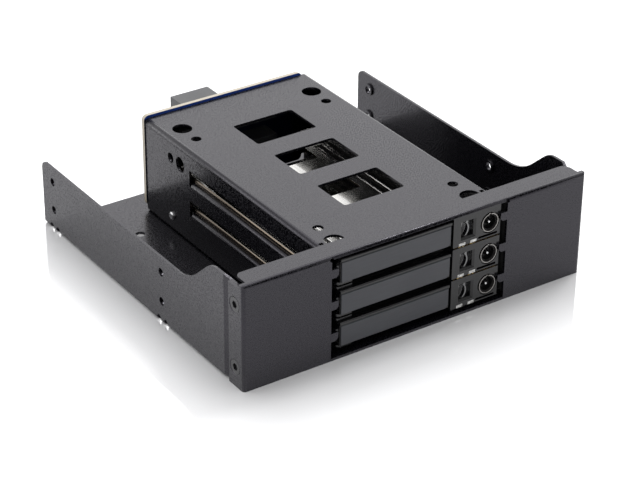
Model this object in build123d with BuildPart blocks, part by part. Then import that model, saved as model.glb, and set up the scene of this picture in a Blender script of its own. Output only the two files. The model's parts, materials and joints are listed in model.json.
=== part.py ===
from build123d import *
import os

# Hot swap drive cage: a folded bracket that fills a half-height 5.25 inch bay and holds three
# removable trays for 2.5 inch drives. Millimetres, +X right, +Y to the rear, +Z up. The origin is
# the centre of the bottom screw pattern, on the underside.

os.makedirs("parts", exist_ok=True)

# Sheet metal
sheet = 1.0
bend = 1.4
joint_gap = 0.1

# Bay bracket
bay_width = 146.0
bezel_height = 41.2
mount_hole = 3.2
mount_setback = 53.3
mount_pitch_y = 79.25
bottom_hole_inset = 3.15
side_hole_low = 9.0
side_hole_pitch = 11.84
collar_diameter = 5.0
collar_height = 0.8
bracket_rear_margin = 7.95
floor_rear_cut = 2.1
rear_wall_height = 26.9
front_wall_drop = 0.7
slope_foot = 35.1
slope_head = 19.9
slope_foot_radius = 21.0
slope_head_radius = 8.0
wall_corner_radius = 3.0
relief_diameter = 2.8
relief_height = 1.1
relief_pitch = 4.7
floor_hole = 3.7
floor_hole_x = 48.3
floor_hole_setbacks = (31.0, 111.2)

# Front bezel
tab_depth = 9.0
tab_drop = 1.7
joggle_depth = 2.9
flange_inset = 2.5
flange_corner_radius = 2.5
opening_relief = 0.8
tooth_reach = 2.9
tooth_height = 3.3
tooth_rise = 5.6
bezel_screw_setback = 5.3
bezel_screw_low = 7.6
bezel_screw_high_drop = 9.1
countersink = 6.2
screw_head = 5.5
screw_shank = 3.0
screw_drive = 2.9
screw_sink = 0.1

# Cage
cage_side_gap = 1.0
drive_width = 69.85
drive_side_gap = 0.575
cage_front = 6.5
cage_depth = 125.7
cover_bend = 1.6
lip_height = 2.2
window_width = 25.9
window_length = 17.4
window_pitch = 27.9
window_centre_x = 0.75
window_first_setback = 37.8
window_corner = 1.0
large_hole = 7.5
small_hole = 3.9
cover_hole_inset = 7.5
large_hole_setbacks = (11.0, 111.0)
small_hole_setbacks = (21.0, 101.0)
cover_notch_length = 1.9
cover_notch_inset = 2.9
foot_width = 5.0
ledge_width = 4.0
slot_height = 5.0
slot_start = 14.0
slot_end = 94.0
lance_relief = 1.2
weld_tab_length = 8.0
weld_tab_setbacks = (20.0, 65.0, 112.0)
rear_flange_width = 6.5
front_flange_width = 5.0
front_flange_drop = 1.5
rear_flange_ends = 4.0
foot_screw_setbacks = (30.0, 117.0)
rivet_shank = 2.4
rivet_head = 3.2
rivet_head_height = 0.9
rivet_end = 3.4
rivet_end_height = 0.3
wall_hole_diameters = (4.0, 6.0)
wall_hole_setbacks = (107.3, 100.5)
rivet_setback = 106.8
wall_hole_drop = 6.1
rivet_height = 7.4

# Backplane
board_thickness = 1.6
board_overhang = 0.4
board_inset = 2.2
board_bottom = 3.0
board_corner = 2.0
board_screw_inset = 5.0
board_screw_low = 9.0
board_screw_high_drop = 8.2
board_screw_head = 4.6
board_screw_head_height = 1.5
board_screw_shank = 2.6
screw_cross = 2.6
drive_socket_width = 42.7
drive_socket_height = 5.6
drive_socket_length = 8.6
drive_socket_centre_x = -4.2
drive_socket_rise = 5.4
drive_slot_depth = 6.0
data_key_inset = 3.4
data_key_width = 10.4
power_key_inset = 4.4
power_key_width = 20.9
key_bar = 1.3
key_leg = 2.0
data_port_width = 16.8
data_port_height = 5.6
data_port_length = 15.0
data_port_rise = 7.0
power_port_width = 24.4
power_port_height = 6.4
power_port_length = 12.0
power_port_inset = 1.5
data_port_gap = 2.1
power_port_rise = 9.0
port_wall = 0.9
port_mouth_depth = 9.0
tongue_gap = 1.3
tongue_setback = 1.0

# Trays: heights are measured up from the underside of a tray's pan
tray_count = 3
tray_headroom = 0.3
ride_gap = 0.1
pan_sheet = 0.8
pan_front = 6.4
pan_rear = 103.5
pan_rise = 1.9
bead_width = 3.4
bead_height = 0.5
bead_centres = (17.4, 21.4)
bead_start = 18.0
bead_end = 90.0
pan_window_shift = -3.1
pan_window_centre_x = -0.6
wall_gap = 0.3
drive_length = 100.45
drive_front = 14.0
drive_hole_side_inset = 4.065
drive_hole_pitch_y = 76.6
drive_hole_inset = 14.0
tray_screw_x = 20.0
tray_screw_setback = 10.6
tray_screw_head = 4.4
tray_screw_shank = 2.5
tray_screw_length = 4.4

# Tray front
front_recess = 1.0
front_left_gap = 3.5
front_right_gap = 2.3
front_depth = 12.8
front_bottom = 0.4
tray_gap = 0.7
front_wall = 0.8
cover_clearance = 0.3
body_drop = 1.2
pocket_count = 4
pocket_rib = 1.2
pocket_floor = 5.8

# Lever
lever_left_inset = 1.0
lever_module_gap = 0.7
lever_bottom = 1.7
lever_top_drop = 1.1
lever_thickness = 2.4
lip_thickness = 1.1
lip_proud = 0.5
lever_gap = 0.2
face_thickness = 0.5
face_margin = 0.3
face_chamfer = 1.2
pin_inset = 3.0
pin_setback = 4.2
pin_diameter = 1.6
pin_clearance = 0.1
knuckle_radius = 1.8
knuckle_gap = 0.3
claw_gap = 0.4
claw_height = 2.7
claw_thickness = 1.5
lever_pocket_depth = 1.2
lever_rib = 0.9
lever_rim = 1.2
lever_pockets = 5
catch_depth = 1.2
ear_top = 0.9

# Latch
module_width = 20.7
recess_inset = 3.3
recess_width = 5.9
recess_bottom = 3.2
recess_top_drop = 2.4
recess_bevel = 0.7
latch_travel = 2.0
latch_thickness = 1.0
latch_gap = 0.3
latch_setback = 3.2
latch_cover = 0.5
latch_nose = 2.4
ridge_inset = 2.6
ridge_width = 0.65
ridge_bow = 1.3
ridge_reach = 1.5
latch_room = 8.5
spring_thickness = 0.3
spring_width = 3.0
spring_depth = 2.6

# Key lock
lock_inset = 4.6
lock_drop = 0.25
lock_mouth = 8.4
lock_ring = 7.3
lock_ring_wall = 0.4
lock_ring_length = 5.2
lock_ring_proud = 0.2
lock_mouth_depth = 0.6
barrel_gap = 0.05
barrel_recess = 0.5
barrel_collar_gap = 0.15
barrel_collar_length = 2.4
key_slot = 0.9
key_post = 1.25
key_post_tip = 0.5
key_well = 1.5
cam_reach = 3.8
cam_width = 2.0
cam_thickness = 1.0
cam_gap = 0.3

# Light pipes
pipe_width = 2.8
pipe_height = 1.1
pipe_insets = (2.6, 7.6)
pipe_proud = 0.1
pipe_length = 5.0
under_slot_inset = 1.2
under_slot_length = 8.5
under_slot_rise = 0.45
under_slot_height = 0.9
under_slot_depth = 3.0

# Worked out from the sizes above
front_y = -(mount_setback + mount_pitch_y / 2)
half_bay = bay_width / 2
bottom_pitch_x = bay_width - 2 * bottom_hole_inset
bracket_depth = mount_setback + mount_pitch_y + bracket_rear_margin
floor_depth = bracket_depth - floor_rear_cut
front_wall_height = bezel_height - front_wall_drop
tab_height = bezel_height - tab_drop
flange_half_width = half_bay - flange_inset
bezel_screw_heights = (bezel_screw_low, bezel_height - bezel_screw_high_drop)
cage_width = drive_width + 2 * drive_side_gap + 2 * sheet
opening_width = cage_width + 2 * cage_side_gap
drive_hole_pitch_x = drive_width - 2 * drive_hole_side_inset
half_cage = cage_width / 2
cage_inside = half_cage - sheet
cover_top = bezel_height - sheet
cover_bottom = cover_top - sheet
wall_top = cover_top - lip_height - joint_gap
cover_hole_x = half_cage - cover_hole_inset
board_left = -half_cage - board_overhang
board_right = half_cage - board_inset
board_screw_x = half_cage - board_screw_inset
board_screw_heights = (board_screw_low, bezel_height - board_screw_high_drop)
power_port_right = board_screw_x - board_screw_head / 2 - power_port_inset
power_port_centre_x = power_port_right - power_port_width / 2
data_port_right = power_port_right - power_port_width - data_port_gap
data_port_centre_x = data_port_right - data_port_width / 2
wall_hole_height = wall_top - wall_hole_drop
wall_holes = [(a, b, wall_hole_height) for a, b in zip(wall_hole_diameters, wall_hole_setbacks)]
wall_holes.append((rivet_shank, rivet_setback, rivet_height))
first_pan = 2 * sheet + ride_gap
tray_pitch = (cover_top - first_pan - tray_headroom) / tray_count
front_height = tray_pitch - tray_gap
front_top = front_bottom + front_height
body_top = front_top - body_drop
front_left = front_left_gap - opening_width / 2
front_right = opening_width / 2 - front_right_gap
module_left = front_right - module_width
lever_left = front_left + lever_left_inset
lever_right = module_left - lever_module_gap
lever_height = front_top - lever_top_drop - lever_bottom
pin_x = front_left + pin_inset
recess_left = module_left + recess_inset
recess_right = recess_left + recess_width
recess_top = front_top - recess_top_drop
ridge_x = recess_left + ridge_inset
lock_x = front_right - lock_inset
lock_rise = front_bottom + front_height / 2 - lock_drop
pipe_lefts = [module_left + inset for inset in pipe_insets]
under_slot_right = front_right - under_slot_inset
under_slot_left = under_slot_right - under_slot_length
pan_half = cage_inside - wall_gap
hole_y = mount_pitch_y / 2


def back(setback):
    """The y of a place that lies this far behind the bezel's front face."""
    return front_y + setback


def face_plane(setback):
    """An upright plane seen from the front; extruding by a minus amount goes to the rear."""
    return Plane.XZ.offset(-back(setback))


def block(x, setback, z, mode=Mode.ADD):
    """A box between two x, two setbacks and two z, in the part that is being built."""
    with Locations((sum(x) / 2, back(sum(setback) / 2), sum(z) / 2)):
        Box(x[1] - x[0], setback[1] - setback[0], z[1] - z[0], mode=mode)


def export(builder, name):
    builder.part.label = name
    export_step(builder.part, f"parts/{name}.step")


# Bay bracket: floor and side walls folded from one sheet, stepped in behind the bezel's tabs
with BuildPart() as bay_bracket:
    step_end = tab_depth + joggle_depth
    with BuildSketch(Plane.XY):
        with BuildLine():
            Polyline(
                (half_bay - sheet, back(bend)),
                (half_bay - sheet, back(tab_depth)),
                (half_bay, back(step_end)),
                (half_bay, back(bracket_depth)),
                (-half_bay, back(bracket_depth)),
                (-half_bay, back(step_end)),
                (sheet - half_bay, back(tab_depth)),
                (sheet - half_bay, back(bend)),
                close=True,
            )
        make_face()
    extrude(amount=front_wall_height)
    base_edges = bay_bracket.edges().group_by(Axis.Z)[0]
    side_edges = base_edges.filter_by(lambda e: abs(e.center().X) > half_bay - 1.5 * sheet)
    fillet(side_edges, bend)
    ends = bay_bracket.faces().filter_by(Axis.Y)
    offset(amount=-sheet, openings=[bay_bracket.faces().sort_by(Axis.Z)[-1], *ends])
    with BuildSketch(Plane.YZ):
        with BuildLine():
            FilletPolyline(
                (back(bracket_depth), 0),
                (back(bracket_depth), rear_wall_height),
                (back(slope_foot), rear_wall_height),
                (back(slope_head), front_wall_height),
                (back(step_end), front_wall_height),
                radius=[wall_corner_radius, slope_foot_radius, slope_head_radius],
            )
            Polyline(
                (back(step_end), front_wall_height),
                (back(tab_depth + joint_gap), tab_height),
                (back(bend), tab_height),
                (back(bend), 0),
                (back(bracket_depth), 0),
            )
        make_face()
    extrude(amount=half_bay, both=True, mode=Mode.INTERSECT)
    block((-half_bay + bend, half_bay - bend), (floor_depth, bracket_depth), (0, sheet), Mode.SUBTRACT)
    block((-opening_width / 2 + joint_gap, opening_width / 2 - joint_gap), (0, 2 * bend), (0, sheet))
    side_hole_heights = (side_hole_low, side_hole_low + side_hole_pitch)
    side_holes = [(0, y, z) for y in (-hole_y, hole_y) for z in side_hole_heights]
    for side in (-1, 1):
        with Locations(*[(side * (half_bay - sheet - collar_height / 2), y, z) for _, y, z in side_holes]):
            Cylinder(collar_diameter / 2, collar_height, rotation=(0, 90, 0))
    with Locations(*side_holes):
        Cylinder(mount_hole / 2, 2 * bay_width, rotation=(0, 90, 0), mode=Mode.SUBTRACT)
    with Locations(*[(0, back(bezel_screw_setback), z) for z in bezel_screw_heights]):
        Cylinder(screw_shank / 2, 2 * bay_width, rotation=(0, 90, 0), mode=Mode.SUBTRACT)
    with Locations((0, 0, 0)):
        with GridLocations(bottom_pitch_x, mount_pitch_y, 2, 2):
            Cylinder(mount_hole / 2, 4 * sheet, mode=Mode.SUBTRACT)
    with Locations(*[(s * floor_hole_x, back(d), 0) for s in (-1, 1) for d in floor_hole_setbacks]):
        Cylinder(floor_hole / 2, 4 * sheet, mode=Mode.SUBTRACT)
    reliefs = [(0, y + s * relief_pitch / 2, relief_height) for y in (-hole_y, hole_y) for s in (-1, 1)]
    for side in (-1, 1):
        with Locations(*[(side * half_bay, y, z) for _, y, z in reliefs]):
            Cylinder(relief_diameter / 2, 2 * bend, rotation=(0, 90, 0), mode=Mode.SUBTRACT)
    foot_screw_x = cage_inside - foot_width / 2
    foot_screws = [(s * foot_screw_x, back(d), 0) for s in (-1, 1) for d in foot_screw_setbacks]
    with Locations(*foot_screws):
        Cylinder(screw_shank / 2, 4 * sheet, mode=Mode.SUBTRACT)
        Cone(
            screw_head / 2,
            screw_shank / 2,
            sheet,
            align=(Align.CENTER, Align.CENTER, Align.MIN),
            mode=Mode.SUBTRACT,
        )
export(bay_bracket, "bay_bracket")

# Front bezel: a shallow folded box, open below and behind, with the tray opening cut out
with BuildPart() as front_bezel:
    block((-half_bay, half_bay), (0, tab_depth), (0, bezel_height))
    front_edges = front_bezel.edges().group_by(Axis.Y)[0]
    fillet(front_edges.filter_by(lambda e: e.center().Z > sheet), bend)
    rear_face = front_bezel.faces().sort_by(Axis.Y)[-1]
    low_face = front_bezel.faces().sort_by(Axis.Z)[0]
    offset(amount=-sheet, openings=[rear_face, low_face])
    half_opening = opening_width / 2
    block((-half_opening, half_opening), (-sheet, bend + sheet), (-sheet, cover_top), Mode.SUBTRACT)
    for side in (-1, 1):
        corner = sorted((side * flange_half_width, side * (half_bay + sheet)))
        block(corner, (bend + sheet, tab_depth + sheet), (tab_height, bezel_height + sheet), Mode.SUBTRACT)
    flange_corners = front_bezel.edges().filter_by(Axis.Z).group_by(Axis.Z)[-1].group_by(Axis.Y)[-1]
    fillet(flange_corners, flange_corner_radius)
    with BuildSketch(face_plane(0)):
        for level in range(tray_count):
            low = first_pan + level * tray_pitch + tooth_rise
            for side in (-1, 1):
                root = side * half_opening
                tip = side * (half_opening - tooth_reach)
                with BuildLine():
                    Polyline(
                        (root, low),
                        (tip + side * tooth_reach / 3, low),
                        (tip, low + tooth_reach / 3),
                        (tip, low + tooth_height),
                        (root, low + tooth_height),
                        close=True,
                    )
                make_face()
    extrude(amount=-sheet)
    with Locations(*[(s * half_opening, back(0), cover_top) for s in (-1, 1)]):
        Cylinder(opening_relief, 2 * sheet, rotation=(90, 0, 0), mode=Mode.SUBTRACT)
    tab_screws = [(0, back(bezel_screw_setback), z) for z in bezel_screw_heights]
    with Locations(*tab_screws):
        Cylinder(screw_shank / 2, 2 * bay_width, rotation=(0, 90, 0), mode=Mode.SUBTRACT)
    for side in (-1, 1):
        with Locations(*[(side * (half_bay - sheet / 2), y, z) for _, y, z in tab_screws]):
            Cone(
                screw_shank / 2,
                countersink / 2,
                sheet,
                rotation=(0, side * 90, 0),
                mode=Mode.SUBTRACT,
            )
export(front_bezel, "front_bezel")

# Four countersunk screws through the bezel's tabs into the bracket
with BuildPart() as bezel_screws:
    shank_length = 4.0
    for side in (-1, 1):
        for z in bezel_screw_heights:
            seat = sheet * (screw_head - screw_shank) / (countersink - screw_shank)
            rim = sheet - screw_sink - seat
            with Locations((side * (half_bay - sheet + seat / 2), back(bezel_screw_setback), z)):
                Cone(screw_shank / 2, screw_head / 2, seat, rotation=(0, side * 90, 0))
            with Locations((side * (half_bay - screw_sink - rim / 2), back(bezel_screw_setback), z)):
                Cylinder(screw_head / 2, rim, rotation=(0, 90, 0))
            shank_middle = half_bay - screw_sink - shank_length / 2
            with Locations((side * shank_middle, back(bezel_screw_setback), z)):
                Cylinder(screw_shank / 2, shank_length, rotation=(0, 90, 0))
            head_place = (side * half_bay, back(bezel_screw_setback), z)
            with BuildSketch(Plane(origin=head_place, x_dir=(0, 1, 0), z_dir=(side, 0, 0))):
                RegularPolygon(screw_drive / 2, 6)
            extrude(amount=-0.9 * sheet, mode=Mode.SUBTRACT)
export(bezel_screws, "bezel_screws")

# Cage cover: top plate with short side lips, windows over the trays and four pairs of holes
with BuildPart() as cage_cover:
    with BuildSketch(face_plane(cage_front)) as cover_section:
        with Locations((0, cover_top - lip_height / 2)):
            Rectangle(cage_width, lip_height)
        fillet(cover_section.vertices().group_by(Axis.Y)[-1], cover_bend)
        with BuildSketch(face_plane(cage_front), mode=Mode.SUBTRACT) as cover_hollow:
            with Locations((0, cover_bottom - lip_height / 2)):
                Rectangle(2 * cage_inside, lip_height)
            fillet(cover_hollow.vertices().group_by(Axis.Y)[-1], cover_bend - sheet)
    extrude(amount=cage_front - cage_depth)
    with BuildSketch(Plane.XY.offset(cover_bottom)):
        for index in range(3):
            window_setback = window_first_setback + index * window_pitch
            with Locations((window_centre_x, back(window_setback))):
                RectangleRounded(window_width, window_length, window_corner)
        with Locations(*[(s * cover_hole_x, back(d)) for s in (-1, 1) for d in large_hole_setbacks]):
            Circle(large_hole / 2)
        with Locations(*[(s * cover_hole_x, back(d)) for s in (-1, 1) for d in small_hole_setbacks]):
            Circle(small_hole / 2)
    extrude(amount=sheet, mode=Mode.SUBTRACT)
    notch_front = tab_depth + sheet
    tongue = half_cage - cover_notch_inset
    for side in (-1, 1):
        outer = sorted((side * tongue, side * (half_cage + sheet)))
        block(outer, (0, notch_front), (0, bezel_height), Mode.SUBTRACT)
        relief = sorted((side * tongue, side * (half_cage - bend + joint_gap)))
        notch_end = notch_front + cover_notch_length
        block(relief, (notch_front, notch_end), (0, bezel_height), Mode.SUBTRACT)
export(cage_cover, "cage_cover")


def pan_base(level):
    """The lower edge of a tray's side flanges; level 0 is the lowest tray."""
    return first_pan + level * tray_pitch


# Cage side walls: each carries the lowest tray on its foot, and the others on two ledges that
# are lanced out of the wall, which leaves a long slot above each
for side, name in ((-1, "cage_side_left"), (1, "cage_side_right")):
    outside = side * half_cage
    inside = side * cage_inside
    with BuildPart() as cage_side:
        block(sorted((outside, inside)), (cage_front, cage_depth), (sheet, wall_top))
        foot_edge = side * (cage_inside - foot_width)
        block(sorted((inside, foot_edge)), (cage_front, cage_depth), (sheet, 2 * sheet))
        flange_edge = side * (half_cage - rear_flange_width)
        flange_z = (2 * sheet + rear_flange_ends, wall_top - rear_flange_ends)
        block(sorted((inside, flange_edge)), (cage_depth - sheet, cage_depth), flange_z)
        front_flange_edge = side * (half_cage + front_flange_width)
        front_flange_z = (2 * sheet, wall_top - front_flange_drop)
        block(sorted((inside, front_flange_edge)), (cage_front, cage_front + sheet), front_flange_z)
        for level in range(1, tray_count):
            ledge_top = pan_base(level) - ride_gap
            ledge_edge = side * (cage_inside - ledge_width)
            ledge_z = (ledge_top - sheet, ledge_top)
            block(sorted((inside, ledge_edge)), (slot_start, slot_end), ledge_z)
        wall_x = sorted((side * (half_cage + sheet), inside))
        for level in range(1, tray_count):
            ledge_top = pan_base(level) - ride_gap
            block(wall_x, (slot_start, slot_end), (ledge_top, ledge_top + slot_height), Mode.SUBTRACT)
            relief_x = sorted((side * (half_cage + sheet), side * (cage_inside - ledge_width - sheet)))
            relief_z = (ledge_top - bend - joint_gap, ledge_top)
            block(relief_x, (slot_start, slot_start + lance_relief), relief_z, Mode.SUBTRACT)
            block(relief_x, (slot_end - lance_relief, slot_end), relief_z, Mode.SUBTRACT)
        long_edges = cage_side.edges().filter_by(Axis.Y)
        for level in range(1, tray_count):
            ledge_top = pan_base(level) - ride_gap
            fold = long_edges.filter_by(
                lambda e: abs(e.center().Z - ledge_top) < ride_gap / 2
                and abs(e.center().X - outside) < ride_gap / 2
            )
            fillet(fold, bend)
        foot_fold = cage_side.edges().filter_by(Axis.Y).group_by(Axis.Z)[0]
        fillet(foot_fold.sort_by(Axis.X)[0 if side < 0 else -1], bend)
        front_folds = cage_side.edges().filter_by(Axis.Z).filter_by(
            lambda e: abs(e.center().X - inside) < 0.01
            and abs(e.center().Y - back(cage_front)) < 0.01
            and front_flange_z[0] < e.center().Z < front_flange_z[1]
        )
        fillet(front_folds, 0.9 * sheet)
        for setback in weld_tab_setbacks:
            tab_x = sorted((inside, side * (cage_inside - sheet)))
            tab_y = (setback - weld_tab_length / 2, setback + weld_tab_length / 2)
            block(tab_x, tab_y, (wall_top - sheet / 2, cover_bottom - cover_bend + sheet))
        for diameter, setback, height in wall_holes:
            with Locations((outside, back(setback), height)):
                Cylinder(diameter / 2, 4 * sheet, rotation=(0, 90, 0), mode=Mode.SUBTRACT)
        with Locations(*[p for p in foot_screws if p[0] * side > 0]):
            Cylinder(screw_shank / 2, 6 * sheet, mode=Mode.SUBTRACT)
        with Locations(*[(side * board_screw_x, back(cage_depth), z) for z in board_screw_heights]):
            Cylinder(board_screw_shank / 2, 4 * sheet, rotation=(90, 0, 0), mode=Mode.SUBTRACT)
    export(cage_side, name)

# Countersunk screws that hold the cage's feet down, put in from below
with BuildPart() as cage_screws:
    with Locations(*foot_screws):
        Cylinder(screw_shank / 2, 2 * sheet, align=(Align.CENTER, Align.CENTER, Align.MIN))
        Cone(
            screw_head / 2,
            screw_shank / 2,
            sheet,
            align=(Align.CENTER, Align.CENTER, Align.MIN),
        )
    for place in foot_screws:
        with BuildSketch(Plane(origin=place, z_dir=(0, 0, -1))):
            RegularPolygon(screw_drive / 2, 6)
        extrude(amount=-0.9 * sheet, mode=Mode.SUBTRACT)
export(cage_screws, "cage_screws")

# Two plated rivets low in the side walls, their inner ends pressed flat so that a drive passes
with BuildPart() as cage_rivets:
    for side in (-1, 1):
        with Locations((side * (half_cage - sheet / 2), back(rivet_setback), rivet_height)):
            Cylinder(rivet_shank / 2, sheet, rotation=(0, 90, 0))
        with Locations((side * (half_cage + rivet_head_height / 2), back(rivet_setback), rivet_height)):
            Cylinder(rivet_head / 2, rivet_head_height, rotation=(0, 90, 0))
        with Locations((side * (cage_inside - rivet_end_height / 2), back(rivet_setback), rivet_height)):
            Cylinder(rivet_end / 2, rivet_end_height, rotation=(0, 90, 0))
    rims = cage_rivets.edges().filter_by(GeomType.CIRCLE)
    chamfer(rims.filter_by(lambda e: abs(e.center().X) > half_cage + rivet_head_height / 2), 0.5 * rivet_head_height)
export(cage_rivets, "cage_rivets")

# Backplane board: stands against the rear flanges and a little above the cover
board_places = [(s * board_screw_x, back(cage_depth), z) for s in (-1, 1) for z in board_screw_heights]
with BuildPart() as backplane_board:
    with BuildSketch(face_plane(cage_depth)):
        with BuildLine():
            Polyline(
                (board_left, board_bottom),
                (board_right, board_bottom),
                (board_right, bezel_height),
                (board_left, bezel_height),
                close=True,
            )
        make_face()
    extrude(amount=-board_thickness)
    fillet(backplane_board.edges().filter_by(Axis.Y), board_corner)
    with Locations(*board_places):
        Cylinder(board_screw_shank / 2, 4 * board_thickness, rotation=(90, 0, 0), mode=Mode.SUBTRACT)
export(backplane_board, "backplane_board")

# Four pan head screws through the board
with BuildPart() as backplane_screws:
    for x, y, z in board_places:
        with Locations((x, back(cage_depth + (board_thickness - sheet) / 2), z)):
            Cylinder(board_screw_shank / 2, board_thickness + sheet, rotation=(90, 0, 0))
        with Locations((x, back(cage_depth + board_thickness + board_screw_head_height / 2), z)):
            Cylinder(board_screw_head / 2, board_screw_head_height, rotation=(90, 0, 0))
    rims = backplane_screws.edges().filter_by(GeomType.CIRCLE).group_by(Axis.Y)[-1]
    chamfer(rims, board_screw_head_height / 3)
    for x, y, z in board_places:
        with BuildSketch(face_plane(cage_depth + board_thickness + board_screw_head_height)):
            with Locations((x, z)):
                Rectangle(screw_cross, screw_cross / 4)
                Rectangle(screw_cross / 4, screw_cross)
        extrude(amount=0.7 * board_screw_head_height, mode=Mode.SUBTRACT)
export(backplane_screws, "backplane_screws")


def key_bars(x, middle):
    """The two bars of an L-shaped key: a long one, and a leg turned down at its right end."""
    half = key_bar / 2
    return (x, (middle - half, middle + half)), ((x[1] - key_bar, x[1]), (middle - key_leg, middle + half))


def keyed_port(x, setback, z):
    """A shroud open to the rear with an L-shaped tongue inside it."""
    block(x, setback, z)
    cavity_front = setback[1] - port_mouth_depth
    inner_x = (x[0] + port_wall, x[1] - port_wall)
    block(inner_x, (cavity_front, setback[1]), (z[0] + port_wall, z[1] - port_wall), Mode.SUBTRACT)
    tongue_x = (inner_x[0] + tongue_gap, inner_x[1] - tongue_gap)
    middle = sum(z) / 2 + (key_leg - key_bar) / 2
    for bar_x, bar_z in key_bars(tongue_x, middle):
        block(bar_x, (cavity_front, setback[1] - tongue_setback), bar_z)


# Drive sockets on the front of the board, and the data and power ports behind it
board_back = cage_depth + board_thickness
for level in range(tray_count):
    with BuildPart() as drive_socket:
        x = [drive_socket_centre_x + s * drive_socket_width / 2 for s in (-1, 1)]
        middle = pan_base(level) + drive_socket_rise
        z = (middle - drive_socket_height / 2, middle + drive_socket_height / 2)
        socket_front = cage_depth - drive_socket_length
        block(x, (socket_front, cage_depth), z)
        data_key = (x[0] + data_key_inset, x[0] + data_key_inset + data_key_width)
        power_key = (x[1] - power_key_inset - power_key_width, x[1] - power_key_inset)
        for bar_x, bar_z in (*key_bars(data_key, middle), *key_bars(power_key, middle)):
            block(bar_x, (socket_front, socket_front + drive_slot_depth), bar_z, Mode.SUBTRACT)
    export(drive_socket, f"drive_socket_{level + 1}")
    with BuildPart() as data_port:
        x = [data_port_centre_x + s * data_port_width / 2 for s in (-1, 1)]
        middle = pan_base(level) + data_port_rise
        z = (middle - data_port_height / 2, middle + data_port_height / 2)
        keyed_port(x, (board_back, board_back + data_port_length), z)
    export(data_port, f"data_port_{level + 1}")

with BuildPart() as power_port:
    x = [power_port_centre_x + s * power_port_width / 2 for s in (-1, 1)]
    z = (power_port_rise - power_port_height / 2, power_port_rise + power_port_height / 2)
    keyed_port(x, (board_back, board_back + power_port_length), z)
export(power_port, "power_port")

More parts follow.
